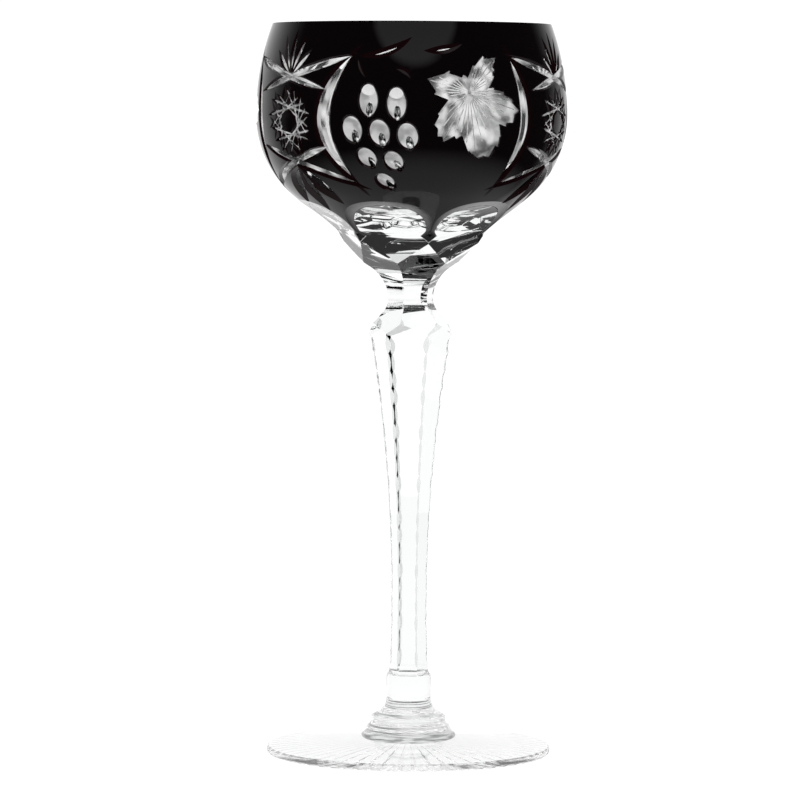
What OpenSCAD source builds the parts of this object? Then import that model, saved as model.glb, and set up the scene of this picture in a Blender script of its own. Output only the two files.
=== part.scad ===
// Roemer: a tall wine glass in cut crystal. A clear bowl, cased outside in black glass that is cut
// through to the clear, stands on a six-sided stem, a merese and a round foot with a star cut below.
// Sizes are in millimetres. The origin is the middle of the foot's underside, +Z runs up the stem,
// and the first grape medallion faces -Y.

/* [Foot] */
// Diameter of the foot
foot_d = 78.5; // [66:0.5:90]
// Thickness of the foot's edge
foot_edge_t = 1.9; // [1.6:0.1:2.6]
// Bevels on the foot's edge
foot_bevel = 0.4; // [0.1:0.1:0.6]
// Height where the foot's slope meets its central rise
foot_slope_h = 4.6; // [3.4:0.1:5]
// Diameter of the central rise at its base
foot_rise_d = 27; // [25:0.5:34]
// Height of the foot under the merese
foot_h = 6.6; // [5.2:0.1:8]
// Rays of the star cut in the underside
ray_count = 60; // [24:1:60]
// Depth of a ray at the edge of the foot
ray_depth = 0.5; // [0.4:0.1:1]
// Full angle of the mitre wheel that cuts the rays
ray_angle = 120; // [80:1:120]
// Diameter of the plain disc in the middle of the star
star_hub_d = 18; // [14:0.5:24]

/* [Merese] */
// Diameter of the merese where it sits on the foot
merese_base_d = 23.4; // [20.8:0.2:24.8]
// Diameter of the merese's rim
merese_d = 20.6; // [16:0.2:24]
// Height of the rim's lower edge above the foot
merese_rim_h = 2; // [0.6:0.1:3]
// Thickness of the rim
merese_rim_t = 2; // [1:0.1:3]
// Height of the merese
merese_h = 8.1; // [7:0.1:10]

/* [Stem] */
// Diameter of the round collar at the foot of the stem
collar_d = 12.3; // [11:0.1:15]
// Height of the collar
collar_h = 7; // [4:0.1:12]
// Length of the six-sided stem from the collar to the shoulder
stem_h = 95.8; // [60:0.2:120]
// Width across the flats at the stem's waist
waist_w = 8.7; // [7.6:0.1:9.4]
// Height of the waist above the collar
waist_h = 20; // [10:1:40]
// Width across the flats at the shoulder
shoulder_w = 20.2; // [17:0.1:22]
// Turn of the stem's flats from the medallions, in degrees
stem_turn = -14; // [-30:1:30]
// Spacing of the notches along the stem's edges
notch_pitch = 4.85; // [4.6:0.05:8]
// Depth of a notch
notch_depth = 0.25; // [0.1:0.05:0.26]
// Diameter of the wheel that cuts the notches
notch_wheel_d = 20; // [8:0.5:20]

/* [Neck] */
// Height of the neck above the shoulder
neck_h = 8.8; // [8:0.2:11]
// Width across the flats at the neck
neck_w = 11.1; // [9:0.1:12]
// Radius of the neck flutes above the neck
neck_upper_r = 11; // [9:0.5:13]
// Slope of the neck flutes where they run out on the bowl, from upright, in degrees
neck_upper_slope = 54; // [50:1:58]
// Radius of the neck flutes below the neck
neck_lower_r = 6; // [4:0.5:7]
// Slope of the shoulder, from upright, in degrees
neck_lower_slope = 38; // [34:1:44]

/* [Bowl] */
// Height of the bowl from the neck to the rim
bowl_h = 75.8; // [70:0.2:84]
// Largest diameter of the bowl
bowl_d = 86; // [82:0.5:92]
// Height of the largest diameter above the neck
belly_h = 50.8; // [48:0.2:54]
// Diameter of the rim
rim_d = 77; // [70:0.5:80]
// Radius of the bowl's shoulder below its largest diameter
bowl_lower_r = 29.5; // [27:0.5:32]
// Slope of the funnel under the bowl, from upright, in degrees
funnel_slope = 50; // [47:1:53]
// Thickness of the whole wall, black and clear together
wall_t = 3; // [2.4:0.1:4]
// Thickness of the black casing
overlay_t = 0.5; // [0.4:0.1:1.2]
// Height of the cavity's floor above the neck
floor_h = 20.8; // [19:0.2:26]

/* [Bowl flutes] */
// Turn of the bowl's flutes from the medallions, in degrees
flute_turn = 6; // [-30:1:30]
// Width across the flutes at their bend
flute_w = 36.9; // [35:0.1:38]
// Height of the flutes' bend above the funnel's end
flute_rise = 0.4; // [0.2:0.1:1]
// How far the black's tips between the flutes reach below the bend
tip_drop = 1.1; // [0.8:0.1:1.6]
// Slope of the flats below the bend, from upright, in degrees
foot_slope = 30; // [28:1:33]
// Radius of the bend between the flats and the flutes' hollows
flute_lower_r = 3.4; // [2.4:0.1:4.4]
// Radius of the wheel that hollows the flutes up to their arched tops
flute_upper_r = 35; // [30:1:42]
// Slope of the flutes where the bend meets the hollow, from upright, in degrees
flute_slope = 45; // [42:1:48]

/* [Medallions] */
// Angle from a medallion's middle to the long cuts that frame it, in degrees
frame_turn = 36; // [34:0.5:37]
// Length of a frame cut
frame_h = 35; // [26:0.5:36]
// Width of a frame cut at its middle
frame_w = 3.8; // [2:0.1:4.4]
// Bow of a frame cut, away from the medallion
frame_bow = 6.3; // [4:0.1:7]
// Height of the frame cuts' middle above the belly
frame_rise = -2.6; // [-4:0.1:-1]
// Diameter of a grape
grape_d = 6; // [4:0.1:6.4]
// Angle between the grapes in a row, in degrees
grape_step = 10.4; // [9.6:0.1:11]
// Height between the rows of grapes
grape_row_h = 7.4; // [7:0.1:8]
// Angle from the medallion's middle to the bunch's, in degrees
bunch_turn = -19.5; // [-20:0.5:-17]
// Height of the bunch's top row above the belly
bunch_rise = 3.2; // [1:0.1:6]
// Angle from the medallion's middle to the vine leaf's, in degrees
leaf_turn = 13.5; // [12:0.5:15]
// Height of the leaf's middle above the belly
leaf_rise = 6; // [4:0.1:8]
// Half width of the leaf
leaf_r = 14; // [10:0.2:15]

/* [Star panels] */
// Width of the mitre cuts that cross above and below a star
cross_w = 1.9; // [1:0.1:2.2]
// Height of the upper crossing above the belly
upper_cross_rise = 11.1; // [9:0.1:12]
// Height of the lower crossing above the belly
lower_cross_rise = -14.3; // [-15:0.1:-12]
// Slope of the crossing cuts, in degrees
cross_slope = 16; // [14:1:18]
// Gap between the long end of a crossing cut and the frame
cross_gap = 1.6; // [1.4:0.1:5]
// How much shorter a crossing cut's other end is
cross_tail_cut = 1.5; // [1.3:0.1:5]
// Height of the rim above the tip of the fan that stands on the upper crossing
fan_margin = 2.4; // [2:0.1:6]
// Angle between the cuts of the upper fan, in degrees
fan_step = 25; // [20:1:26]
// Height of the lower fan's tip above the flutes' bend
drop_margin = 6.9; // [6.4:0.1:10]
// Angle between the cuts of the lower fan, in degrees
drop_step = 32; // [26:1:36]
// Width of the cuts in the lower fan
drop_w = 2.6; // [1:0.1:3]

/* [Hidden] */
$fn = 96;

// Six flats go round the stem, the neck and the bowl's base
sides = 6;
front = -90;
corner = 1 / cos(180 / sides);
overcut = 2;
arc_step = 6;

// Heights of the seats from the table up
collar_z = foot_h + merese_h;
stem_z = collar_z + collar_h;
waist_z = stem_z + waist_h;
shoulder_z = stem_z + stem_h;
neck_z = shoulder_z + neck_h;
belly_z = neck_z + belly_h;
rim_z = neck_z + bowl_h;

// The stem's flats are ground on a long curve from the waist to the shoulder
flat_rise = (shoulder_w - waist_w) / 2;
flat_r = (pow(stem_h - waist_h, 2) + pow(flat_rise, 2)) / (2 * flat_rise);
function flat_at(z) = waist_w / 2 + flat_r - sqrt(pow(flat_r, 2) - pow(z - waist_z, 2));

// The bowl's wall is two arcs that meet upright at the belly, and a straight funnel below them
rim_rise = rim_z - belly_z;
rim_taper = (bowl_d - rim_d) / 2;
bowl_upper_r = (pow(rim_rise, 2) + pow(rim_taper, 2)) / (2 * rim_taper);
funnel_z = belly_z - bowl_lower_r * sin(funnel_slope);
funnel_r = bowl_d / 2 - bowl_lower_r * (1 - cos(funnel_slope));

// The blank under the funnel is as wide as the edges between the flats at the black's tips
skirt_r = (flute_w / 2 - tip_drop * tan(foot_slope)) * corner;
skirt_z = funnel_z - (funnel_r - skirt_r) / tan(funnel_slope);
flute_z = skirt_z + flute_rise;

// The pattern goes three times round the bowl, with a star panel between each two medallions.
// The medallions end above the funnel and the star panels on it, so their cuts start inside its
// wide and its narrow end
pattern_turns = [0, 120, 240];
star_turn = 60;
medallion_from = funnel_r - wall_t;
star_from = skirt_r;
blade_steps = 3;
grape_rows = [2, 3, 2, 1];
grape_sides = 10;
leaf_outline = [
    [-0.9, 0.25], [-0.07, 0.27], [0.25, 0.72], [0.53, 0.66], [0.36, 0.06], [1, -0.34],
    [0.55, -0.57], [0.28, -1.27], [-0.16, -0.78], [-0.55, -0.95], [-0.47, -0.15]
];

function arc(centre, r, from, to) =
    let (n = max(2, ceil(abs(to - from) / arc_step)))
    [for (i = [0:n]) let (a = from + (to - from) * i / n) centre + r * [cos(a), sin(a)]];

// The bowl's outline from the rim down to the skirt, at a depth below the black surface
function bowl_outline(depth) = concat(
    arc([bowl_d / 2 - bowl_upper_r, belly_z], bowl_upper_r - depth,
        asin(rim_rise / (bowl_upper_r - depth)), 0),
    arc([bowl_d / 2 - bowl_lower_r, belly_z], bowl_lower_r - depth, -arc_step, -funnel_slope),
    [[skirt_r - depth, skirt_z - depth * tan(funnel_slope / 2)]]
);

function reversed(list) = [for (i = [len(list) - 1:-1:0]) list[i]];

// Where the flutes and the flats are ground: each outline runs up the right side of the part as
// [distance from the axis, height], and everything outside its six flats is ground away
module six_sided(outline, turn) {
    mirrored = [for (p = reversed(outline)) [-p.x, p.y]];
    intersection_for(i = [0:sides / 2 - 1])
        rotate(front + turn + i * 360 / sides)
            rotate([90, 0, 0]) linear_extrude(2 * bowl_d, center = true)
                polygon(concat(outline, mirrored));
}

module stem_flats() {
    low = stem_z - overcut;
    high = neck_z + overcut;
    steps = 10;
    six_sided([for (i = [0:steps]) let (z = low + (high - low) * i / steps) [flat_at(z), z]], stem_turn);
}

module neck_flutes() {
    lower = arc([neck_w / 2 + neck_lower_r, neck_z], neck_lower_r, 180 + neck_lower_slope, 180);
    upper = arc([neck_w / 2 + neck_upper_r, neck_z], neck_upper_r, 180, 180 - neck_upper_slope);
    last = upper[len(upper) - 1];
    lower_run = shoulder_w - lower[0].x;
    upper_run = bowl_d - last.x;
    lower_end = lower[0] + lower_run * [1, -1 / tan(neck_lower_slope)];
    upper_end = last + upper_run * [1, 1 / tan(neck_upper_slope)];
    six_sided(concat(
        [[lower_end.x, 0], lower_end], lower, [for (i = [1:len(upper) - 1]) upper[i]],
        [upper_end, [upper_end.x, rim_z + upper_end.y]]
    ), flute_turn);
}

module bowl_flutes() {
    run_out = 85;
    foot_z = neck_z - overcut;
    foot_r = flute_w / 2 - (flute_z - foot_z) * tan(foot_slope);
    bend_centre = [flute_w / 2, flute_z] + flute_lower_r * [cos(foot_slope), -sin(foot_slope)];
    bend = arc(bend_centre, flute_lower_r, 180 - foot_slope, 180 - flute_slope);
    last = bend[len(bend) - 1];
    centre = last + flute_upper_r * [cos(flute_slope), -sin(flute_slope)];
    hollow = arc(centre, flute_upper_r, 180 - flute_slope, 180 - run_out);
    top = hollow[len(hollow) - 1];
    six_sided(concat(
        [[foot_r, foot_z]], bend, [for (i = [1:len(hollow) - 1]) hollow[i]],
        [[bowl_d, top.y], [bowl_d, rim_z + top.y]]
    ), flute_turn + 180 / sides);
}

module edge_notches() {
    count = floor((stem_h - notch_pitch) / notch_pitch);
    for (side = [0:sides - 1])
        rotate(front + stem_turn + (side + 0.5) * 360 / sides)
            for (i = [1:count]) {
                z = stem_z + i * notch_pitch;
                translate([flat_at(z) * corner - notch_depth + notch_wheel_d / 2, 0, z])
                    rotate([90, 0, 0]) cylinder(d = notch_wheel_d, h = shoulder_w, center = true);
            }
}

// A mitre cut seen from outside: widest in its middle, and pointed at both ends
function blade(length, width, bow = 0) =
    let (steps = [for (i = [-blade_steps:blade_steps]) i / blade_steps])
    concat(
        [for (t = steps) [t * length / 2, (width / 2 + bow) * (1 - t * t)]],
        [for (t = reversed(steps)) if (abs(t) < 1) [t * length / 2, (bow - width / 2) * (1 - t * t)]]
    );

// A shape cut into the bowl from outside, drawn about the belly's height and facing one way
module cut_facing(turn, from) {
    rotate(front + turn) translate([from, 0, belly_z]) rotate([90, 0, 90])
        linear_extrude(bowl_d - from) children();
}

module medallion_cuts() {
    for (side = [-1, 1])
        cut_facing(side * frame_turn, medallion_from)
            translate([-side * frame_bow / 2, frame_rise])
                rotate(90) polygon(blade(frame_h, frame_w, -side * frame_bow));
    for (row = [0:len(grape_rows) - 1], i = [0:grape_rows[row] - 1])
        cut_facing(bunch_turn + grape_step * (i - (grape_rows[row] - 1) / 2), medallion_from)
            translate([0, bunch_rise - row * grape_row_h]) circle(d = grape_d, $fn = grape_sides);
    cut_facing(leaf_turn, medallion_from) translate([0, leaf_rise]) polygon(leaf_r * leaf_outline);
}

module star_panel_cuts() {
    panel_w = bowl_d / 2 * sin(star_turn - frame_turn);
    reach = (panel_w - cross_gap) / cos(cross_slope);
    length = 2 * reach - cross_tail_cut;
    fan_h = rim_rise - fan_margin - upper_cross_rise - cross_w / 2;
    drop_h = belly_z + lower_cross_rise - cross_w / 2 - flute_z - drop_margin;
    for (side = [-1, 1], half = [-1, 1])
        cut_facing(star_turn, star_from)
            translate([0, half > 0 ? upper_cross_rise : lower_cross_rise])
                rotate(side * half * cross_slope)
                    translate([side * cross_tail_cut / 2, 0]) polygon(blade(length, cross_w));
    for (i = [-2:2])
        cut_facing(star_turn, star_from) translate([0, upper_cross_rise + cross_w / 2])
            rotate(90 + i * fan_step) translate([fan_h / 2, 0]) polygon(blade(fan_h, cross_w));
    for (i = [-1:1])
        cut_facing(star_turn, star_from) translate([0, lower_cross_rise - cross_w / 2])
            rotate(-90 + i * drop_step) translate([drop_h / 2, 0]) polygon(blade(drop_h, drop_w));
}

module star_rays() {
    hub_r = star_hub_d / 2;
    reach = foot_d / 2 - hub_r;
    tilt = atan(ray_depth / reach);
    side = ray_depth * overcut;
    for (i = [0:ray_count - 1])
        rotate(i * 360 / ray_count)
            translate([hub_r, 0, 0]) rotate([0, -tilt, 0]) translate([-overcut, 0, 0])
                rotate([90, 0, 90]) linear_extrude(reach + 2 * overcut)
                    polygon([[0, 0], side * [-tan(ray_angle / 2), -1], side * [tan(ray_angle / 2), -1]]);
}

module foot() {
    r = foot_d / 2;
    color([0.92, 0.95, 0.96, 0.5]) difference() {
        rotate_extrude() polygon([
            [0, 0], [r - foot_bevel, 0], [r, foot_bevel], [r, foot_edge_t - foot_bevel],
            [r - foot_bevel, foot_edge_t], [foot_rise_d / 2, foot_slope_h],
            [merese_base_d / 2, foot_h], [0, foot_h]
        ]);
        star_rays();
    }
}

module merese() {
    rim_top = merese_rim_h + merese_rim_t;
    color([0.9, 0.93, 0.95, 0.5]) translate([0, 0, foot_h]) rotate_extrude() polygon([
        [0, 0], [merese_base_d / 2, 0], [merese_d / 2, merese_rim_h], [merese_d / 2, rim_top],
        [collar_d / 2, merese_h], [0, merese_h]
    ]);
}

module stem() {
    color([0.94, 0.96, 0.97, 0.5]) {
        translate([0, 0, collar_z]) cylinder(d = collar_d, h = collar_h);
        difference() {
            intersection() {
                stem_flats();
                neck_flutes();
                cylinder(d = 2 * shoulder_w, h = neck_z);
            }
            edge_notches();
        }
    }
}

module cavity() {
    inner_r = bowl_d / 2 - wall_t;
    depth = belly_h - floor_h;
    upper_r = bowl_upper_r - wall_t;
    upper = arc([bowl_d / 2 - bowl_upper_r, belly_z], upper_r, asin(rim_rise / upper_r), 0);
    floor_curve = [for (a = [arc_step:arc_step:90]) [inner_r * cos(a), belly_z - depth * sin(a)]];
    rotate_extrude() polygon(concat(
        [[0, rim_z + overcut], [upper[0].x, rim_z + overcut]], upper, floor_curve
    ));
}

module crystal_bowl() {
    color([0.9, 0.93, 0.95, 0.5]) difference() {
        intersection() {
            rotate_extrude() polygon(concat(
                bowl_outline(overlay_t), [[skirt_r - overlay_t, neck_z], [0, neck_z], [0, rim_z]]
            ));
            bowl_flutes();
            neck_flutes();
        }
        cavity();
    }
}

module black_overlay() {
    color([0.06, 0.05, 0.06]) difference() {
        intersection() {
            rotate_extrude() polygon(concat(
                bowl_outline(0), [[skirt_r, neck_z], [skirt_r - overlay_t, neck_z]],
                reversed(bowl_outline(overlay_t))
            ));
            bowl_flutes();
        }
        for (turn = pattern_turns) rotate(turn) {
            medallion_cuts();
            star_panel_cuts();
        }
    }
}

foot();
merese();
stem();
crystal_bowl();
black_overlay();
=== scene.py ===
import math

import bpy
from mathutils import Matrix, Vector
from mathutils.geometry import delaunay_2d_cdt


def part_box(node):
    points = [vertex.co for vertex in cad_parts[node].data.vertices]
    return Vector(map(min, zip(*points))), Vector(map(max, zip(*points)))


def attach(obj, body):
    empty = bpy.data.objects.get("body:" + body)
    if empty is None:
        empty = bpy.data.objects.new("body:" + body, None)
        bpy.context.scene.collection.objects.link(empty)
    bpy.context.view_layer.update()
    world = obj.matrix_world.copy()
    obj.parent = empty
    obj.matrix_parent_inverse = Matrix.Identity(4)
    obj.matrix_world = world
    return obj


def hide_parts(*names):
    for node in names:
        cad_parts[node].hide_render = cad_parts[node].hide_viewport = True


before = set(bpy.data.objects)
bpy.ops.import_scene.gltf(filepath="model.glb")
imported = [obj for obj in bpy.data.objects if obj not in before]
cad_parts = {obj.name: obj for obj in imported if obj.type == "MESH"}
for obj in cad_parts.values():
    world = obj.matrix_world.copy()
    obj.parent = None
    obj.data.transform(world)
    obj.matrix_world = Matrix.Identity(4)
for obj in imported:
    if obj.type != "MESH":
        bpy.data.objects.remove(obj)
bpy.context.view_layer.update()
mm = 0.001

# The foot: a disc of lead crystal, spun out flat while hot and ground at its edge. A star of mitre
# rays is cut in its underside with a V-edged wheel, from a plain middle out through the edge.
foot_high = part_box("foot")[1]
foot_r = foot_high.x
foot_edge_t = 1.9 * mm
foot_bevel = 0.4 * mm
foot_slope_at = Vector((15.5 * mm, 4.3 * mm))
foot_rise_bend = Vector((12.6 * mm, 4.8 * mm))
foot_seat_r = 11.7 * mm
ray_count = 60
ray_depth = 0.5 * mm
ray_angle = math.radians(120)
ray_over = 2 * mm
star_hub_r = 9 * mm
scar_r = 11.1 * mm
turned_segments = 192
weld_gap = 0.002 * mm
seam_gap = 0.001 * mm
sharp_angle = math.radians(14)


def linear(colour):
    """The linear colour that a shader socket takes, from an sRGB hex value."""
    channels = [int(colour[i:i + 2], 16) / 255 for i in (1, 3, 5)]
    return [c / 12.92 if c <= 0.04045 else ((c + 0.055) / 1.055) ** 2.4 for c in channels] + [1]


def add_node(tree, kind, settings={}, links={}):
    """A new node, with its properties and free sockets set and its other sockets linked."""
    node = tree.nodes.new(kind)
    for key, value in settings.items():
        if isinstance(key, str) and key in node.bl_rna.properties:
            setattr(node, key, value)
        else:
            node.inputs[key].default_value = value
    for key, source in links.items():
        tree.links.new(source, node.inputs[key])
    return node


def new_tree(name, inputs):
    """A geometry tree with the named inputs and one output, and the outputs of its input node."""
    tree = bpy.data.node_groups.new(name, "GeometryNodeTree")
    for label, kind in inputs.items():
        tree.interface.new_socket(label, in_out="INPUT", socket_type="NodeSocket" + kind)
    tree.interface.new_socket("Result", in_out="OUTPUT", socket_type="NodeSocketGeometry")
    return tree, add_node(tree, "NodeGroupInput").outputs


def end_tree(tree, result):
    """End a geometry tree in a plain mesh."""
    real = add_node(tree, "GeometryNodeRealizeInstances", {}, {"Geometry": result})
    add_node(tree, "NodeGroupOutput", {}, {"Result": real.outputs["Geometry"]})


def worked(name, mesh, *steps):
    """An object whose mesh has gone through the trees in turn and is plain again."""
    piece = bpy.data.objects.new(name, mesh)
    bpy.context.scene.collection.objects.link(piece)
    for tree, values in steps:
        modifier = piece.modifiers.new(tree.name, "NODES")
        modifier.node_group = tree
        sockets = {item.name: item.identifier for item in tree.interface.items_tree}
        for label, value in values.items():
            modifier[sockets[label]] = value
    depsgraph = bpy.context.evaluated_depsgraph_get()
    piece.data = bpy.data.meshes.new_from_object(piece.evaluated_get(depsgraph))
    piece.modifiers.clear()
    piece.data.name = name
    return piece


def new_mesh(name, points, edges=(), faces=()):
    """A mesh from its points and how they join."""
    mesh = bpy.data.meshes.new(name)
    mesh.from_pydata(points, edges, faces)
    mesh.update()
    return mesh


def new_material(name):
    """A material with nothing in it yet, and its tree."""
    material = bpy.data.materials.new(name)
    material.use_nodes = True
    material.node_tree.nodes.clear()
    return material, material.node_tree


def even_material(name, shader, settings={}):
    """A material that looks the same all over."""
    material, tree = new_material(name)
    surface = add_node(tree, shader, settings)
    add_node(tree, "ShaderNodeOutputMaterial", {}, {"Surface": surface.outputs["BSDF"]})
    return material


def crystal_material(name, colour, clear, roughness, mark_size, mark_strength, patch_size=0, patch_clear=1,
                     bending=1.54):
    """Lead crystal with one finish: how clear and how matt it is, the marks its wheel leaves and, where it
    is polished unevenly, the size of the patches in each stroke and how clear the clearest of them are."""
    mark_depth = 0.05 * mm
    patch_start, patch_full = 0.4, 0.56
    material, tree = new_material(name)
    place = add_node(tree, "ShaderNodeTexCoord").outputs["Object"]
    marks = add_node(tree, "ShaderNodeTexNoise", {"Scale": 1 / mark_size, "Detail": 2}, {"Vector": place})
    bump = add_node(tree, "ShaderNodeBump", {"Strength": mark_strength, "Distance": mark_depth},
                    {"Height": marks.outputs["Fac"]})
    glass = add_node(tree, "ShaderNodeBsdfPrincipled", {
        "Base Color": linear(colour), "Transmission Weight": clear, "IOR": bending, "Roughness": roughness,
    }, {"Normal": bump.outputs["Normal"]})
    if patch_size:
        stroke = add_node(tree, "ShaderNodeAttribute", {"attribute_name": "stroke"}).outputs["Fac"]
        patches = add_node(tree, "ShaderNodeTexNoise", {
            "noise_dimensions": "4D", "Scale": 1 / patch_size, "Detail": 1}, {"Vector": place, "W": stroke})
        polish = add_node(tree, "ShaderNodeMapRange", {
            "From Min": patch_start, "From Max": patch_full, "To Min": clear, "To Max": patch_clear,
        }, {"Value": patches.outputs["Fac"]})
        tree.links.new(polish.outputs[0], glass.inputs["Transmission Weight"])
    add_node(tree, "ShaderNodeOutputMaterial", {}, {"Surface": glass.outputs["BSDF"]})
    return material


# Polished on a felt wheel: clear, with a waviness about 4 mm long that makes what is behind it ripple
polished_crystal = crystal_material("polished lead crystal", "#fdfefe", 1, 0, 4 * mm, 0.09)

# Where two gathers of crystal were joined hot they are one glass: nothing shows of the seam
fused_joint = even_material("fused crystal seam", "ShaderNodeBsdfTransparent")

# Ground on a coarse stone: so rough a face that light gets out of it at any slant
stone_cut_crystal = crystal_material("stone cut crystal", "#ffffff", 0.9, 0.1, 1.2 * mm, 0.2, bending=1.2)

# The scar of the glassmaker's rod, ground off under the foot and half polished: it stays a little grey
scar_crystal = crystal_material(
    "ground and half polished crystal", "#747676", 0.2, 0.08, 2 * mm, 0.4, 4 * mm, 0.75)

# A blown or spun body: its outline, from the axis round to the axis, goes once round the axis
turning, inputs = new_tree("Turned glass", {"Outline": "Geometry", "Segments": "Int", "Glass": "Material"})
guide_r = 1.0
ring = add_node(turning, "GeometryNodeCurvePrimitiveCircle", {"Radius": guide_r},
                {"Resolution": inputs["Segments"]})
upright = add_node(turning, "GeometryNodeSetCurveNormal", {"mode": "Z_UP"}, {"Curve": ring.outputs["Curve"]})
outline = add_node(turning, "GeometryNodeMeshToCurve", {}, {"Mesh": inputs["Outline"]})
inset = add_node(turning, "GeometryNodeTransform", {"Translation": (-guide_r, 0, 0)},
                 {"Geometry": outline.outputs["Curve"]})
body = add_node(turning, "GeometryNodeCurveToMesh", {},
                {"Curve": upright.outputs["Curve"], "Profile Curve": inset.outputs["Geometry"]})
closed = add_node(turning, "GeometryNodeMergeByDistance", {"Distance": weld_gap},
                  {"Geometry": body.outputs["Mesh"]})
glass = add_node(turning, "GeometryNodeSetMaterial", {},
                 {"Geometry": closed.outputs["Geometry"], "Material": inputs["Glass"]})
end_tree(turning, glass.outputs["Geometry"])

tool_inputs = {"Blank": "Geometry", "Tool": "Object", "Count": "Int", "Turn": "Float"}


def copies_round(tree, inputs, sweep):
    """Copies of a tree's tool, as many as its count, spread evenly over a sweep about the axis."""
    tool = add_node(tree, "GeometryNodeObjectInfo", {}, {"Object": inputs["Tool"]})
    places = add_node(tree, "GeometryNodeMeshLine", {"Offset": (0, 0, 0)}, {"Count": inputs["Count"]})
    step = add_node(tree, "ShaderNodeMath", {"operation": "DIVIDE", 0: sweep}, {1: inputs["Count"]})
    index = add_node(tree, "GeometryNodeInputIndex").outputs[0]
    angle = add_node(tree, "ShaderNodeMath", {"operation": "MULTIPLY_ADD"},
                     {0: index, 1: step.outputs[0], 2: inputs["Turn"]})
    turn = add_node(tree, "ShaderNodeCombineXYZ", {}, {"Z": angle.outputs[0]})
    copies = add_node(tree, "GeometryNodeInstanceOnPoints", {}, {
        "Points": places.outputs["Mesh"], "Instance": tool.outputs["Geometry"], "Rotation": turn.outputs[0]})
    return copies.outputs["Instances"]


# A tool that cuts the same way all round: each of its separate shapes is taken out of the blank
cutting, inputs = new_tree("Cut all round", tool_inputs)
real = add_node(cutting, "GeometryNodeRealizeInstances", {},
                {"Geometry": copies_round(cutting, inputs, math.tau)})
shape = add_node(cutting, "GeometryNodeInputMeshIsland").outputs["Island Index"]
shapes = add_node(cutting, "GeometryNodeSplitToInstances", {"domain": "FACE"},
                  {"Geometry": real.outputs["Geometry"], "Group ID": shape})
cut = add_node(cutting, "GeometryNodeMeshBoolean", {"operation": "DIFFERENCE", "solver": "MANIFOLD"},
               {0: inputs["Blank"], 1: shapes.outputs["Instances"]})
end_tree(cutting, cut.outputs["Mesh"])


def turned(name, outline, *steps, glass=polished_crystal, ring=False):
    """A body turned from its outline of (radius, height) points, which a ring closes on itself, and then
    cut in the steps that follow."""
    count = len(outline)
    edges = [(i, (i + 1) % count) for i in range(count if ring else count - 1)]
    mesh = new_mesh("outline", [(r, -z, 0) for r, z in reversed(outline)], edges)
    return worked(name, mesh, (turning, {"Segments": turned_segments, "Glass": glass}), *steps)


def bend(start, corner, end, steps=8):
    """Points along a soft bend from start to end that heads for the corner."""
    ways = [i / steps for i in range(steps + 1)]
    return [start * (1 - t) ** 2 + corner * 2 * t * (1 - t) + end * t ** 2 for t in ways]


def arc(centre, radius, start, end, step=3):
    """Points along a round arc, from one angle to another in degrees."""
    count = max(2, math.ceil(abs(end - start) / step))
    angles = [math.radians(start + (end - start) * i / count) for i in range(count + 1)]
    return [(centre[0] + radius * math.cos(a), centre[1] + radius * math.sin(a)) for a in angles]


def finish_glass(piece, node, seams=()):
    """Smooth faces with sharp cut edges, clear seams at the given heights, and the frame's calls."""
    piece.data.shade_smooth()
    piece.data.set_sharp_from_angle(angle=sharp_angle)
    if seams:
        piece.data.materials.append(fused_joint)
        seam_slot = len(piece.data.materials) - 1
        for face in piece.data.polygons:
            heights = [piece.data.vertices[i].co.z for i in face.vertices]
            if any(max(abs(z - seam) for z in heights) < seam_gap for seam in seams):
                face.material_index = seam_slot
    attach(piece, "root")
    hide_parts(node)


def ray_tool():
    """The V that the wheel leaves along one ray: shallow at the hub and deepest at the edge."""
    reach = foot_r - star_hub_r
    tilt = Matrix.Rotation(-math.atan(ray_depth / reach), 3, "Y")
    drop = 2 * ray_depth
    half_w = drop * math.tan(ray_angle / 2)
    ends = [-ray_over, reach + ray_over]
    points = [tilt @ Vector((x, y, z)) for x in ends for y, z in ((0, 0), (-half_w, -drop), (half_w, -drop))]
    points = [p + Vector((star_hub_r, 0, 0)) for p in points]
    faces = [(0, 2, 1), (3, 4, 5), (0, 1, 4, 3), (1, 2, 5, 4), (2, 0, 3, 5)]
    mesh = new_mesh("ray", points, faces=faces)
    mesh.materials.append(stone_cut_crystal)
    return worked("ray", mesh)


foot_outline = [
    (0, 0), (scar_r, 0), (foot_r - foot_bevel, 0), (foot_r, foot_bevel), (foot_r, foot_edge_t - foot_bevel),
    (foot_r - foot_bevel, foot_edge_t),
    *bend(foot_slope_at, foot_rise_bend, Vector((foot_seat_r, foot_high.z))), (0, foot_high.z),
]
ray = ray_tool()
foot = turned("crystal_foot", foot_outline, (cutting, {"Tool": ray, "Count": ray_count}))
bpy.data.objects.remove(ray)
foot.data.materials.append(scar_crystal)
stone_slot, scar_slot = [list(foot.data.materials).index(m) for m in (stone_cut_crystal, scar_crystal)]
for face in foot.data.polygons:
    if face.center.z < foot_edge_t:
        scarred = math.hypot(face.center.x, face.center.y) < scar_r
        face.material_index = scar_slot if scarred else stone_slot
finish_glass(foot, "foot", seams=[foot_high.z])

# The merese: a small wafer of crystal, dropped hot on the foot to take the stem. It is not cut, so its
# rim is round and fire-polished, and it narrows to the stem's collar in a soft curve.
collar_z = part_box("merese")[1].z
merese_r = 10.3 * mm
merese_round = 0.5 * mm
merese_lip_at = Vector((foot_seat_r - 0.3 * mm, foot_high.z + 0.8 * mm))
merese_low = foot_high.z + 2 * mm
merese_top = foot_high.z + 4 * mm
neck_curve_start = Vector((merese_r - 1.5 * mm, merese_top + 0.4 * mm))
neck_curve_at = Vector((6.6 * mm, merese_top + 1.6 * mm))
collar_r = 6.15 * mm

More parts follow.
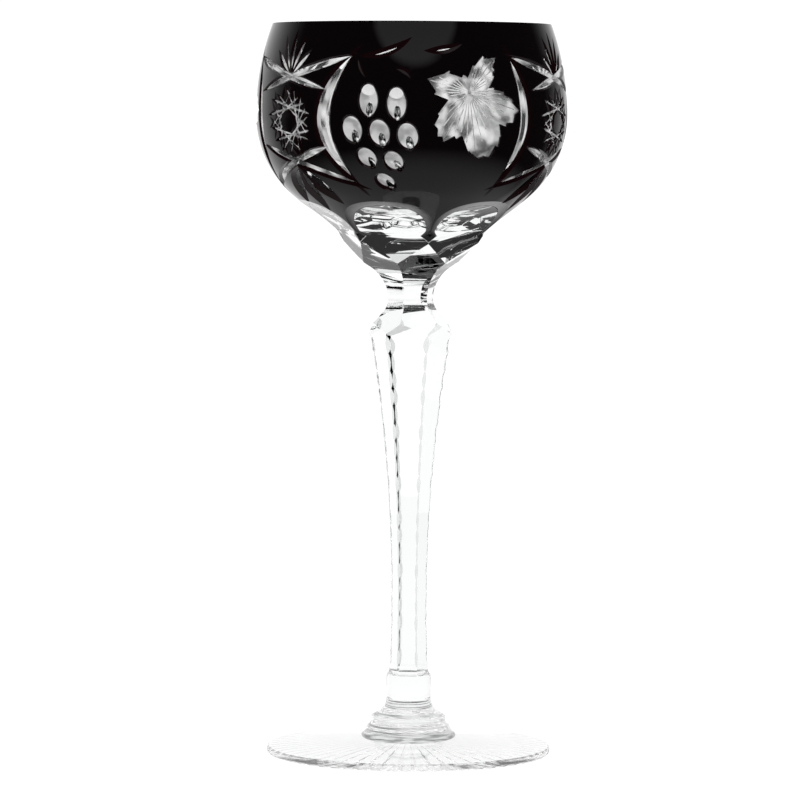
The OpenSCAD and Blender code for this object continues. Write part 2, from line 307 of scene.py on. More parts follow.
merese_outline = [
    (0, foot_high.z), (foot_seat_r, foot_high.z),
    *bend(merese_lip_at, Vector((merese_r, merese_low)), Vector((merese_r, merese_low + merese_round))),
    *arc((merese_r - merese_round, merese_top - merese_round), merese_round, 0, 80, step=20),
    *bend(neck_curve_start, neck_curve_at, Vector((collar_r, collar_z))), (0, collar_z),
]
merese = turned("crystal_merese", merese_outline)
finish_glass(merese, "merese", seams=[foot_high.z, collar_z])

# The stem: a drawn rod of crystal with a round collar at its foot, ground to six flats that widen to a
# shoulder and pinched by six flutes at the neck. A wheel nicks each edge in a chain of small lenses.
front = math.radians(-90)
sides = 6
corner_share = 1 / math.cos(math.pi / sides)
collar_round = 0.6 * mm
collar_taper = 0.3 * mm
stem_z = collar_z + 7 * mm
waist_z = stem_z + 20 * mm
shoulder_z = stem_z + 95.8 * mm
neck_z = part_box("stem")[1].z
waist_r = 4.35 * mm
shoulder_r = 10.1 * mm
stem_turn = math.radians(-14)
flute_turn = math.radians(6)
neck_r = 5.55 * mm
neck_upper_r = 11 * mm
neck_upper_slope = 54
neck_lower_r = 6 * mm
neck_lower_slope = 38
notch_pitch = 4.85 * mm
notch_share = 0.994
notch_half_w = 3 * mm
notch_lid = 0.6 * mm
notch_depth = 0.22 * mm
notch_top_depth = 0.38 * mm
notch_end_depth = 0.09 * mm
notch_unevenness = 0.3
notch_rhythm = 2.4
run_out_r = 1.2 * mm
run_out_angle = 70
run_out_end = 10
run_out_gap = 1 * mm
flat_over = 2 * mm
flare_z = shoulder_z - 20 * mm
wide = 60 * mm
flat_rise = shoulder_r - waist_r
flat_curve_r = ((shoulder_z - waist_z) ** 2 + flat_rise ** 2) / (2 * flat_rise)

# Cut on a stone and half polished: light passes the nicks, but they look a little grey
nicked_crystal = crystal_material("stone cut crystal, half polished", "#e6e8e8", 0.62, 0.1, 1.2 * mm, 0.2)

# Flats that face all round: what lies outside any of the bars is ground away
grinding, inputs = new_tree("Grind flats", tool_inputs)
ground = add_node(grinding, "GeometryNodeMeshBoolean", {"operation": "INTERSECT", "solver": "MANIFOLD"},
                  {1: copies_round(grinding, inputs, math.pi)})
grinding.links.new(inputs["Blank"], ground.inputs[1])
end_tree(grinding, ground.outputs["Mesh"])


def flats(bar, turn):
    """The step that grinds a ring of flats with a bar, one of them at an angle from the front."""
    return grinding, {"Tool": bar, "Count": sides // 2, "Turn": front + turn}


def flat_at(z):
    """Distance from the axis to the stem's flats, which are ground on one long curve."""
    return waist_r + flat_curve_r - math.sqrt(flat_curve_r ** 2 - (z - waist_z) ** 2)


def prism(ring, half_w, first=0):
    """The points and faces of a straight tool: a ring of (radius, height) points, up its right side, drawn
    out to both sides. Its points count from the first."""
    count = len(ring)
    points = [(r, y, z) for y in (-half_w, half_w) for r, z in ring]
    walls = [(i, count + i, count + (i + 1) % count, (i + 1) % count) for i in range(count)]
    caps = [range(count), reversed(range(count, 2 * count))]
    return points, [tuple(first + i for i in face) for face in [*walls, *caps]]


def bar_tool(outline):
    """A bar between two opposite flats: the outline of one flat, up its right side, and its mirror."""
    points, faces = prism(outline + [(-r, z) for r, z in reversed(outline)], wide)
    mesh = new_mesh("bar", points, faces=faces)
    mesh.materials.append(polished_crystal)
    return worked("bar", mesh)


def neck_flute_outline():
    """One flute of the neck: a wheel's hollow above the neck and a tighter one below it."""
    lower = arc((neck_r + neck_lower_r, neck_z), neck_lower_r, 180 + neck_lower_slope, 180)
    upper = arc((neck_r + neck_upper_r, neck_z), neck_upper_r, 180, 180 - neck_upper_slope)
    low_run = wide - lower[0][0]
    high_run = wide - upper[-1][0]
    low_z = lower[0][1] - low_run / math.tan(math.radians(neck_lower_slope))
    high_z = upper[-1][1] + high_run / math.tan(math.radians(neck_upper_slope))
    return [(wide, 0), (wide, low_z), *lower, *upper[1:], (wide, high_z), (wide, high_z + wide)]


def stem_flat_outline():
    """One flat of the stem, with the wheel's run-out where it ends on the collar."""
    steps = 24
    low = stem_z + run_out_r * math.sin(math.radians(run_out_angle))
    high = neck_z + flat_over
    heights = [low + (high - low) * i / steps for i in range(steps + 1)]
    centre = (flat_at(low) + run_out_r, low)
    run_out = arc(centre, run_out_r, 180 + run_out_angle, 180 + run_out_end, step=12)
    return [(wide, 0), (wide, run_out[0][1] - run_out_gap), *run_out, *[(flat_at(z), z) for z in heights]]


def notch_tool():
    """A chain of wheel nicks along one edge of the stem, end to end, cut by eye and deeper towards the
    shoulder."""
    points, faces = [], []
    reach = notch_pitch * notch_share / 2
    count = math.floor((shoulder_z - stem_z) / notch_pitch)
    for i in range(1, count + 1):
        z = stem_z + i * notch_pitch
        by_eye = 1 + notch_unevenness * math.sin(notch_rhythm * i)
        depth = (notch_depth + (notch_top_depth - notch_depth) * (i / count) ** 3) * by_eye
        wheel_r = reach ** 2 / (2 * (depth - notch_end_depth))
        lean = math.degrees(math.atan((flat_at(z + mm) - flat_at(z - mm)) * corner_share / (2 * mm)))
        half_angle = math.degrees(math.asin(reach / wheel_r))
        outward_way = Vector((math.cos(math.radians(lean)), -math.sin(math.radians(lean))))
        centre = Vector((flat_at(z) * corner_share, z)) + outward_way * (wheel_r - depth)
        rim = arc(centre, wheel_r, 180 - lean - half_angle, 180 - lean + half_angle, step=5)
        lid = outward_way * notch_lid
        nick = [Vector(rim[0]) + lid, *rim, Vector(rim[-1]) + lid]
        nick_points, nick_faces = prism(nick, notch_half_w, len(points))
        points += nick_points
        faces += nick_faces
    mesh = new_mesh("notches", points, faces=faces)
    mesh.materials.append(nicked_crystal)
    mesh.transform(Matrix.Rotation(front + stem_turn + math.pi / sides, 4, "Z"))
    return worked("notches", mesh)


stem_outline = [
    (0, collar_z), (collar_r, collar_z),
    *bend(Vector((collar_r, stem_z - collar_round)), Vector((collar_r, stem_z)),
          Vector((collar_r - collar_taper, stem_z + collar_round)), steps=4),
    (collar_r, stem_z + run_out_r), (wide / 2, flare_z), (wide / 2, neck_z), (0, neck_z),
]
stem_bar = bar_tool(stem_flat_outline())
neck_bar = bar_tool(neck_flute_outline())
neck_flats = flats(neck_bar, flute_turn)
notches = notch_tool()
stem = turned("crystal_stem", stem_outline, flats(stem_bar, stem_turn), neck_flats,
              (cutting, {"Tool": notches, "Count": sides}))
for tool_object in (stem_bar, notches):
    bpy.data.objects.remove(tool_object)
finish_glass(stem, "stem", seams=[collar_z, neck_z])

# The crystal bowl: the clear gather inside the black, blown to a globe on a solid base. Six flutes are
# ground round the base, and the pattern is cut on wheels through the black and into the crystal.
rim_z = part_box("crystal_bowl")[1].z
bowl_r = 43 * mm
belly_z = neck_z + 50.8 * mm
rim_r = 38.5 * mm
bowl_lower_r = 29.5 * mm
funnel_slope = 50
wall_t = 3 * mm
casing_t = 0.5 * mm
casing_swell = 1.2
backing_depth = 0.7 * wall_t
floor_z = neck_z + 20.8 * mm
rim_round = 0.5 * mm
rim_soft_at = Vector((0.15 * mm, -0.12 * mm))
flute_r = 18.45 * mm
flute_rise = 0.4 * mm
tip_drop = 1.1 * mm
flute_foot_slope = 30
flute_foot_drop = 2 * mm
flute_lower_r = 3.4 * mm
flute_upper_r = 35 * mm
flute_slope = 45
flute_run_out = 85

rim_rise = rim_z - belly_z
rim_taper = bowl_r - rim_r
bowl_upper_r = (rim_rise ** 2 + rim_taper ** 2) / (2 * rim_taper)
funnel_tan = math.tan(math.radians(funnel_slope))
funnel_z = belly_z - bowl_lower_r * math.sin(math.radians(funnel_slope))
funnel_r = bowl_r - bowl_lower_r * (1 - math.cos(math.radians(funnel_slope)))
flute_foot_tan = math.tan(math.radians(flute_foot_slope))
skirt_r = (flute_r - tip_drop * flute_foot_tan) * corner_share
skirt_z = funnel_z - (funnel_r - skirt_r) / funnel_tan
flute_z = skirt_z + flute_rise


def upper_wall(depth):
    """The bowl's outline from the rim down to the belly, at a depth under the black surface."""
    rim_angle = math.degrees(math.asin(rim_rise / (bowl_upper_r - depth)))
    return arc((bowl_r - bowl_upper_r, belly_z), bowl_upper_r - depth, rim_angle, 0, step=1.5)


def bowl_outline(depth):
    """The bowl's outline from the rim down to the flutes, at a depth under the black surface that grows
    towards the flutes, where the glass was blown less thin."""
    lower = []
    for angle in range(2, funnel_slope + 1, 2):
        r = bowl_lower_r - depth * (1 + casing_swell * (angle / funnel_slope) ** 2)
        a = math.radians(angle)
        lower.append((bowl_r - bowl_lower_r + r * math.cos(a), belly_z - r * math.sin(a)))
    end_depth = depth * (1 + casing_swell)
    end_z = skirt_z - end_depth * math.tan(math.radians(funnel_slope / 2))
    return [*upper_wall(depth), *lower, (skirt_r - end_depth, end_z)]


def cavity_outline():
    """The inside of the bowl, from the rim down to the middle of its round floor."""
    inner_r = bowl_r - wall_t
    angles = [math.radians(a) for a in range(3, 90, 3)]
    floor_curve = [(inner_r * math.cos(a), belly_z - (belly_z - floor_z) * math.sin(a)) for a in angles]
    return [*upper_wall(wall_t), *floor_curve, (0, floor_z)]


def bowl_flute_outline():
    """One flute of the bowl's base: a sloping flat, a tight bend and a wheel's hollow up to its arch."""
    low_z = neck_z - flute_foot_drop
    low_r = flute_r - (flute_z - low_z) * flute_foot_tan
    slope = math.radians(flute_foot_slope)
    bend_centre = (flute_r + flute_lower_r * math.cos(slope), flute_z - flute_lower_r * math.sin(slope))
    tight = arc(bend_centre, flute_lower_r, 180 - flute_foot_slope, 180 - flute_slope)
    angle = math.radians(flute_slope)
    centre = (tight[-1][0] + flute_upper_r * math.cos(angle), tight[-1][1] - flute_upper_r * math.sin(angle))
    hollow = arc(centre, flute_upper_r, 180 - flute_slope, 180 - flute_run_out, step=1.5)
    top_z = hollow[-1][1]
    return [(low_r, low_z), *tight, *hollow[1:], (wide, top_z), (wide, top_z + rim_z)]


def bowl_at(z):
    """The bowl's outer radius at a height, and the slope of its surface from upright there."""
    rise = z - belly_z
    if z < funnel_z:
        return funnel_r - (funnel_z - z) * funnel_tan, -math.radians(funnel_slope)
    r = bowl_upper_r if rise > 0 else bowl_lower_r
    return bowl_r - r + math.sqrt(r * r - rise * rise), math.asin(rise / r)


def on_bowl(turn, z, lift=0):
    """A place on the bowl, at an angle from the medallion's middle in degrees, and its normal."""
    r, slope = bowl_at(z)
    angle = front + math.radians(turn)
    normal = Vector((math.cos(angle) * math.cos(slope), math.sin(angle) * math.cos(slope), math.sin(slope)))
    return Vector((r * math.cos(angle), r * math.sin(angle), z)) + normal * lift, normal


def turn_of(girth):
    """The angle that a distance round the belly takes up, in degrees."""
    return math.degrees(girth / bowl_r)


# A mitre cut: a wheel with a V edge follows a line on the bowl, and bites deepest in the middle of it.
# The polish differs from stroke to stroke along its walls
mitring, inputs = new_tree("Mitre cuts", {"Lines": "Geometry", "Wheel": "Object", "Glass": "Material"})
facing, bite, across = [
    add_node(mitring, "GeometryNodeInputNamedAttribute", {"data_type": kind, "Name": name}).outputs[0]
    for name, kind in (("facing", "FLOAT_VECTOR"), ("bite", "FLOAT"), ("across", "FLOAT"))]
lines = add_node(mitring, "GeometryNodeMeshToCurve", {}, {"Mesh": inputs["Lines"]})
lying = add_node(mitring, "GeometryNodeSetCurveNormal", {"mode": "FREE"},
                 {"Curve": lines.outputs["Curve"], "Normal": facing})
wheel = add_node(mitring, "GeometryNodeObjectInfo", {}, {"Object": inputs["Wheel"]})
edge = add_node(mitring, "GeometryNodeMeshToCurve", {}, {"Mesh": wheel.outputs["Geometry"]})
swept = add_node(mitring, "GeometryNodeCurveToMesh", {"Fill Caps": True}, {
    "Curve": lying.outputs["Curve"], "Profile Curve": edge.outputs["Curve"], "Scale": bite})
strokes = add_node(mitring, "GeometryNodeStoreNamedAttribute", {
    "data_type": "FLOAT", "domain": "FACE", "Name": "stroke",
}, {"Geometry": swept.outputs["Mesh"], "Value": across})
glass = add_node(mitring, "GeometryNodeSetMaterial", {},
                 {"Geometry": strokes.outputs["Geometry"], "Material": inputs["Glass"]})
end_tree(mitring, glass.outputs["Geometry"])

# An olive: the round end of a small wheel, set into the bowl once for each grape
olives, inputs = new_tree("Olive cuts", {"Places": "Geometry", "Glass": "Material"})
facing, along, size = [
    add_node(olives, "GeometryNodeInputNamedAttribute", {"data_type": "FLOAT_VECTOR", "Name": name})
    for name in ("facing", "along", "size")]
lie = add_node(olives, "FunctionNodeAxesToRotation", {"primary_axis": "Z", "secondary_axis": "Y"},
               {0: facing.outputs[0], 1: along.outputs[0]})
ball = add_node(olives, "GeometryNodeMeshUVSphere", {"Segments": 64, "Rings": 48, "Radius": 1})
glass = add_node(olives, "GeometryNodeSetMaterial", {},
                 {"Geometry": ball.outputs["Mesh"], "Material": inputs["Glass"]})
grapes = add_node(olives, "GeometryNodeInstanceOnPoints", {}, {
    "Points": inputs["Places"], "Instance": glass.outputs["Geometry"], "Rotation": lie.outputs[0],
    "Scale": size.outputs[0]})
end_tree(olives, grapes.outputs["Instances"])


def store(mesh, **layers):
    """Store named layers of numbers or vectors, one for each point of a mesh."""
    for name, values in layers.items():
        if isinstance(values[0], Vector):
            layer = mesh.attributes.new(name, "FLOAT_VECTOR", "POINT")
            layer.data.foreach_set("vector", [c for value in values for c in value])
        else:
            layer = mesh.attributes.new(name, "FLOAT", "POINT")
            layer.data.foreach_set("value", values)


def outward(tool):
    """Turn a tool's faces outward, as cutting needs them."""
    volume = 0
    for face in tool.data.polygons:
        ring = [tool.data.vertices[i].co for i in face.vertices]
        volume += sum(ring[0].dot(ring[i].cross(ring[i + 1])) for i in range(1, len(ring) - 1))
    if volume < 0:
        tool.data.flip_normals()
    return tool


def wheel_edge(angle, strokes):
    """The V edge of a wheel, one wide to each side of the line where it meets the surface, with the number
    of strokes that show on each of its walls."""
    slope = math.tan(math.radians(angle / 2))
    over = 0.6
    half = [((over + 1 / slope) * i / strokes - 1 / slope, (1 + over * slope) * i / strokes)
            for i in range(strokes + 1)]
    points = [(x, y, 0) for x, y in half] + [(x, -y, 0) for x, y in reversed(half[1:])]
    count = len(points)
    mesh = new_mesh("wheel", points, [(i, (i + 1) % count) for i in range(count)])
    store(mesh, across=list(range(count)))
    return worked("wheel", mesh)


def wheel_cuts(name, angle, strokes, finish, lines):
    """The glass that one wheel takes out along lines, each a list of places, normals and bites."""
    points, edges, facings, bites = [], [], [], []
    for line in lines:
        edges += [(len(points) + i, len(points) + i + 1) for i in range(len(line) - 1)]
        for place, normal, bite in line:
            points.append(place)
            facings.append(normal)
            bites.append(bite)
    mesh = new_mesh(name, points, edges)
    store(mesh, facing=facings, bite=bites)
    wheel = wheel_edge(angle, strokes)
    tool = outward(worked(name, mesh, (mitring, {"Wheel": wheel, "Glass": finish})))
    bpy.data.objects.remove(wheel)
    return tool


def line_cuts(name, angle, strokes, taper, finish, cuts):
    """Mitre cuts with one wheel, that taper off over a share of their length. A cut is its two ends as
    (turn, height above the belly), its width and its bow, in degrees and millimetres."""
    cut_step = 2.4 * mm
    least_steps = 8
    end_share = 0.03
    lines = []
    for (start_turn, start_z), (end_turn, end_z), width, bow in cuts:
        start = Vector((math.radians(start_turn) * bowl_r, belly_z + start_z * mm))
        run = Vector((math.radians(end_turn) * bowl_r, belly_z + end_z * mm)) - start
        aside = Vector((run.y, -run.x)).normalized()
        steps = max(least_steps, math.ceil(run.length / cut_step))
        line = []
        for i in range(steps + 1):
            t = i / steps
            swell = 4 * t * (1 - t)
            at = start + run * t + aside * bow * mm * swell
            bite = width / 2 * mm * max(min(1, swell / taper), end_share)
            line.append((*on_bowl(turn_of(at.x), at.y), bite))
        lines.append(line)
    return wheel_cuts(name, angle, strokes, finish, lines)


# Cut on a stone and polished unevenly in acid: the walls of the cuts are clear in one place and white in
# the next
cut_crystal = crystal_material(
    "cut crystal, acid polished", "#ffffff", 0.15, 0.06, 1.2 * mm, 0.3, 7 * mm, 0.93)

# Fine lines are left nearly as the stone cut them: white, and here and there clear enough to look dark
line_crystal = crystal_material("fine cut crystal", "#ffffff", 0.15, 0.2, 0.6 * mm, 0.2, 2.5 * mm, 0.75)

panel_turn = 60


def frame_cuts():
    """The two long bowed cuts that frame a medallion, the left one bowed more."""
    return [((-27.6, 18.6), (-27.9, -22), 5.6, 11.1), ((28.6, 18.6), (28, -22), 4.4, -6.8)]


def panel_cuts():
    """The crossing cuts of a star panel, above and below its star."""
    cuts = []
    for side in (-1, 1):
        cuts.append(((panel_turn - side * 31, 16.2), (panel_turn + side * 21, 6.1), 2.6, 0))
        cuts.append(((panel_turn - side * 34, -20.3), (panel_turn + side * 23, -7.9), 2.7, 0))
    return cuts


def panel_spot(reach, angle, z):
    """A place in the star panel, at a reach in millimetres and an angle from a height on its middle."""
    return panel_turn + turn_of(reach * mm * math.cos(angle)), z + reach * math.sin(angle)


def fan_cuts():
    """The fan of cuts above a star panel's upper cross, shorter towards its sides."""
    fan_r = 12.6
    fan_z = 10.3
    fan_step = 24
    shortening = 0.04
    tips = [panel_spot(fan_r * (1 - shortening * i * i), math.radians(90 - fan_step * i), fan_z)
            for i in range(-3, 4)]
    return [((panel_turn, fan_z), tip, 1.9, 0) for tip in tips]


def drop_cuts():
    """The three broad cuts that hang below a star panel."""
    tips = ((-15, -24.4), (0, -26.5), (15, -24.4))
    return [((panel_turn, -14), (panel_turn + turn, z), 5.4, 0) for turn, z in tips]


def star_cuts():
    """The hobstar: fine lines that each run from one of its points to the sixth next. They are cut by eye,
    so two sines of no like rhythm put each end a little out of place."""
    points = 16
    skip = 6
    star_r = 9.7
    star_z = -2.1
    angle_slip = 0.14
    reach_slip = 0.08
    cuts = []
    for i in range(points):
        ends = []
        for k, end in enumerate((i, i + skip)):
            angle = math.tau * (end + 0.5 + angle_slip * math.sin(9.1 * i + 4 * k)) / points
            ends.append(panel_spot(star_r * (1 + reach_slip * math.sin(5.3 * i + 2 * k)), angle, star_z))
        cuts.append((*ends, 1.02, 0))
    return cuts


def vine_cuts():
    """The vine above the grapes: shallow cuts that hardly leave the black."""
    return [
        ((-29, 15.6), (-8.4, 20.6), 2.6, 1.5),
        ((-4, 17), (11, 18.9), 2.5, 0.6),
        ((-28.7, 15), (-25.5, 9.8), 1, 0.3),
        ((-14, 12), (-8.9, 9.6), 1.6, -0.8),
    ]


# The grapes hang in rows of a count, a width, a length, a lean in degrees and the place of the row's
# middle, as an angle from the medallion's middle and a height above the belly
grape_rows = [
    (2, 5.8, 9.4, 3, -19, 3.2), (3, 6.2, 8.5, 14, -20.1, -5),
    (2, 5.4, 7.2, 36, -20.4, -12.3), (1, 4.9, 7.2, 42, -19.3, -18.3),
]
grape_pitch = 10.4
grape_droop = 0.9 * mm


def grape_tool(name, rows, share, shift, sink, depth, finish):
    """Olives for the grapes, whose rows droop to the right. A share of a grape's width and length, shifted
    down along it, makes the polished pit at its lower end and the frosted cap at its upper one; the cap
    is a painted highlight."""
    opening = math.sqrt(1 - sink ** 2)
    reach = depth / (1 - sink)
    points, facings, alongs, sizes = [], [], [], []
    for count, width, height, lean, middle, rise in rows:
        lean_angle = math.radians(lean)
        aside = shift * height / 2 * math.sin(lean_angle)
        down = shift * height / 2 * math.cos(lean_angle)
        half = Vector((width * share[0], height * share[1], 0)) / 2 * mm
        for i in range(count):
            step = i - (count - 1) / 2
            turn = middle + grape_pitch * step + turn_of(aside * mm)
            z = belly_z + (rise - down) * mm - grape_droop * step
            place, normal = on_bowl(turn, z, reach * sink)
            across = Vector((0, 0, 1)).cross(normal).normalized()
            up = normal.cross(across)
            points.append(place)
            facings.append(normal)
            alongs.append(up * math.cos(lean_angle) - across * math.sin(lean_angle))
            sizes.append(half / opening + Vector((0, 0, reach)))
    places = new_mesh(name, points)
    store(places, facing=facings, along=alongs, size=sizes)
    tool = outward(worked(name, places, (olives, {"Glass": finish})))
    tool.data.materials.pop(index=0)  # the empty slot that a ball starts with
    return tool


# The vine leaf: its saw-toothed edge, drawn in millimetres about the stalk's end as it is seen from the
# photograph's side, and its five lobes as direction, length and half width. It is ground matt, hollow
# along each lobe, and veined with a fine wheel
leaf_facing = -8.4
leaf_x = 15.95 * mm
leaf_z = belly_z + 6 * mm
leaf_edge = [
    (-0.9, 3.9), (0.5, 7.6), (0.9, 7.0), (3.3, 10.0), (3.8, 9.0), (4.3, 9.6), (4.7, 9.0), (6.7, 9.4),
    (5.8, 6.9), (5.9, 4.5), (6.3, 4.3), (4.6, 0.8), (7.6, 0.4), (9.1, 0.1), (8.9, -0.6), (11.5, -1.9),
    (11.3, -2.8), (13.3, -4.9), (12.1, -5.7), (11.6, -8.1), (9.9, -8.1), (9.7, -9.3), (7.8, -8.5),
    (8.2, -11.9), (7.9, -12.1), (7.6, -14.6), (6.8, -14.4), (5.2, -17.5), (3.6, -17.2), (2.0, -17.8),
    (-0.3, -15.9), (-0.7, -16.1), (-1.6, -13.6), (-2.4, -11.6), (-3.9, -12.6), (-4.4, -11.8),
    (-7.4, -13.3), (-7.7, -11.9), (-8.9, -11.9), (-8.9, -9.8), (-9.8, -8.8), (-8.5, -6.3), (-8.9, -5.9),
    (-6.1, -2.1), (-10.0, -0.6), (-9.4, 0), (-11.7, 3.5), (-7.1, 4.9), (-5.8, 5.8), (-5.9, 5.0),
    (-2.5, 3.9), (-2.2, 4.8),
]
leaf_lobes = [(55, 11.5, 3), (163, 12.2, 3.6), (241, 15.2, 4.2), (276, 17.9, 4.6), (340, 14.2, 4.4)]
leaf_depth = 0.62 * mm
leaf_hollow = 0.7 * mm
leaf_lid = 0.8 * mm
leaf_grid = 0.8
vein_depth = 0.28 * mm
vein_angle = 60
vein_start = 0.5
vein_fade = 0.35

# Ground matt on a stone wheel: it scatters the light, and is clearer where the stone was worn
satin_crystal = crystal_material("satin ground crystal", "#f4f4f4", 0, 0.3, 0.4 * mm, 0.4, 4.5 * mm, 0.95)

# The grapes are ground finer, and all have a pit at the lower end that is polished clear, as are the broad
# cuts below the star panels. The upper ones get a white frosted cap at the top: a painted highlight that
# stands in for the light showing through their tops
grape_crystal = crystal_material("fine ground crystal", "#e4e4e4", 0.12, 0.3, 0.4 * mm, 0.3, 3.5 * mm, 0.55)
frosted_cap_painted_highlight = crystal_material("frosted crystal, painted highlight", "#f2f2f2", 0, 0.5, 0.3 * mm, 0.3)
pit_crystal = crystal_material("polished cut in crystal", "#ffffff", 1, 0, 1 * mm, 0.5)


def lobe_axis(direction):
    """The way a lobe points on the unrolled bowl."""
    return Vector((math.cos(math.radians(direction)), math.sin(math.radians(direction))))


def leaf_depth_at(at):
    """How deep the leaf is ground at a place, deepest along the middle of each lobe."""
    swell = 0
    for direction, _, half_w in leaf_lobes:
        axis = lobe_axis(direction)
        across = axis.x * at.y - axis.y * at.x
        if at.dot(axis) > 0:
            swell = max(swell, 1 - (across / half_w) ** 2)
    return leaf_depth + leaf_hollow * swell


def leaf_place(at, lift):
    """A place on the bowl for a point of the leaf's drawing."""
    z = leaf_z + at.y * mm
    turn = leaf_facing + math.degrees(math.asin((leaf_x + at.x * mm) / bowl_at(z)[0]))
    return on_bowl(turn, z, lift)


def leaf_tool():
    """The body of glass that is ground out for the leaf: its hollowed floor, its walls and a lid."""
    edge = [Vector(point) for point in leaf_edge]
    count = len(edge)
    low = Vector(min(p[k] for p in edge) for k in (0, 1))
    high = Vector(max(p[k] for p in edge) for k in (0, 1))
    columns, rows = [math.ceil(span / leaf_grid) for span in high - low]
    inner = [low + Vector((i, j)) * leaf_grid for i in range(columns) for j in range(rows)]
    ring = [(i, (i + 1) % count) for i in range(count)]
    flat, _, triangles, *_ = delaunay_2d_cdt(edge + inner, ring, [tuple(range(count))], 1, 1e-5)
    total = len(flat)
    floor = [leaf_place(p, -leaf_depth_at(p))[0] for p in flat]
    lid = [leaf_place(p, leaf_lid)[0] for p in flat]
    ways = {}
    for triangle in triangles:
        for a, b in zip(triangle, triangle[1:] + triangle[:1]):
            ways[(a, b)] = True
    faces = [tuple(reversed(t)) for t in triangles] + [tuple(i + total for i in t) for t in triangles]
    faces += [(a, b, b + total, a + total) for a, b in ways if (b, a) not in ways]
    mesh = new_mesh("leaf", floor + lid, faces=faces)
    mesh.materials.append(satin_crystal)
    return outward(worked("leaf", mesh))


def vein_tool():
    """The leaf's veins: fine lines from the stalk's end that fan out in each lobe, shorter at its sides."""
    steps = 10
    spread = [(9 * i, 0.93 - 0.16 * abs(i)) for i in range(-3, 4)]
    slope = math.tan(math.radians(vein_angle / 2))
    lines = []
    for direction, length, _ in leaf_lobes:
        for aside, share in spread:
            axis = lobe_axis(direction + aside)
            line = []
            for i in range(steps + 1):
                t = i / steps
                at = axis * (vein_start + (length * share - vein_start) * t)
                bite = (leaf_depth_at(at) + vein_depth * (1 - vein_fade * t)) * slope
                line.append((*leaf_place(at, 0), bite))
            lines.append(line)
    return wheel_cuts("veins", vein_angle, 1, line_crystal, lines)


# The crystal's side of the black glass, which is fused to it and swallows the light
black_backing = even_material(
    "black glass fused to crystal", "ShaderNodeBsdfDiffuse", {"Color": linear("#060304")})

pattern_count = 3
pattern_tools = [
    line_cuts("frames", 115, 5, 1, cut_crystal, frame_cuts()),
    line_cuts("panel", 80, 3, 0.7, cut_crystal, panel_cuts()),
    line_cuts("fan", 80, 2, 1, cut_crystal, fan_cuts()),
    line_cuts("drops", 120, 1, 1, pit_crystal, drop_cuts()),
    line_cuts("star", 60, 1, 0.35, line_crystal, star_cuts()),
    line_cuts("vine", 130, 1, 1, line_crystal, vine_cuts()), leaf_tool(), vein_tool(),
    grape_tool("grapes", grape_rows, (1, 1), 0, 0.5, 1.7 * mm, grape_crystal),
    # A white frosted cap at the top of the upper grapes: a painted highlight for the light through their
    # tops
    grape_tool("grape_caps", grape_rows[:1], (0.8, 0.6), -0.42, 0.5, 1.6 * mm, frosted_cap_painted_highlight),
    grape_tool("grape_pits", grape_rows, (0.42, 0.58), 0.4, 0.2, 2.1 * mm, pit_crystal),
]
pattern = [(cutting, {"Tool": tool, "Count": pattern_count}) for tool in pattern_tools]
bowl_bar = bar_tool(bowl_flute_outline())
bowl_flats = flats(bowl_bar, flute_turn + math.pi / sides)
outside = bowl_outline(casing_t)
inside = cavity_outline()
rim_in = Vector(inside[0])
rim_soft = [
    outside[0], rim_in + Vector((rim_round, 0)), rim_in + rim_soft_at, rim_in - Vector((0, rim_round)),
]
crystal_outline = [
    (0, neck_z), (outside[-1][0], neck_z), *reversed(outside[1:]), *rim_soft,
    *[p for p in inside[1:] if p[1] < rim_z - 2 * rim_round],
]
blank = turned("blank", crystal_outline)
blank.data.materials.append(black_backing)
for face in blank.data.polygons:
    r = math.hypot(face.center.x, face.center.y)
    z = face.center.z
    if flute_z - 2 * tip_drop < z < rim_z - seam_gap and r > bowl_at(z)[0] - backing_depth:
        face.material_index = 1
crystal_bowl = worked("crystal_bowl_cut", blank.data, bowl_flats, neck_flats, *pattern)
bpy.data.objects.remove(blank)
finish_glass(crystal_bowl, "crystal_bowl", seams=[neck_z])

# The black overlay: a thin layer of black glass that was cased over the crystal while hot. The same
# flutes and pattern are cut through it, and its cut edges show that the black is a deep red.
casing_gap = 0.02 * mm
black = "#070405"
ground_thin = "#7c7a7b"


def black_glass_material(name, colour):
    """Black glass: so deep a red that it looks black, fire-polished to a mirror."""
    return even_material(name, "ShaderNodeBsdfPrincipled", {
        "Base Color": linear(colour), "IOR": 1.52, "Specular IOR Level": 0.3, "Roughness": 0.02})


def feathered_edge_material():
    """Where the flutes run out through the black they grind it ever thinner, and it fades to grey. How
    deep a place lies under the bowl's cone is worked out from its radius and height."""
    material = black_glass_material("feathered edge of the black glass", black)
    tree = material.node_tree
    glass = tree.nodes["Principled BSDF"]
    place = add_node(tree, "ShaderNodeTexCoord").outputs["Object"]
    flat = add_node(tree, "ShaderNodeVectorMath", {"operation": "MULTIPLY", 1: (1, 1, 0)}, {0: place})
    radius = add_node(tree, "ShaderNodeVectorMath", {"operation": "LENGTH"}, {0: flat.outputs["Vector"]})
    height = add_node(tree, "ShaderNodeSeparateXYZ", {}, {0: place}).outputs["Z"]
    cone = add_node(tree, "ShaderNodeMath", {
        "operation": "MULTIPLY_ADD", 1: funnel_tan, 2: funnel_r - funnel_z * funnel_tan}, {0: height})
    depth = add_node(tree, "ShaderNodeMath", {"operation": "SUBTRACT"},
                     {0: cone.outputs[0], 1: radius.outputs["Value"]})
    thinning = add_node(tree, "ShaderNodeMapRange", {
        "From Min": 0, "From Max": casing_t * (1 + casing_swell) / math.cos(math.radians(funnel_slope)),
    }, {"Value": depth.outputs[0]})
    fade = add_node(tree, "ShaderNodeMix", {
        "data_type": "RGBA", 6: linear(black), 7: linear(ground_thin)}, {0: thinning.outputs[0]})
    tree.links.new(fade.outputs[2], glass.inputs["Base Color"])
    return material


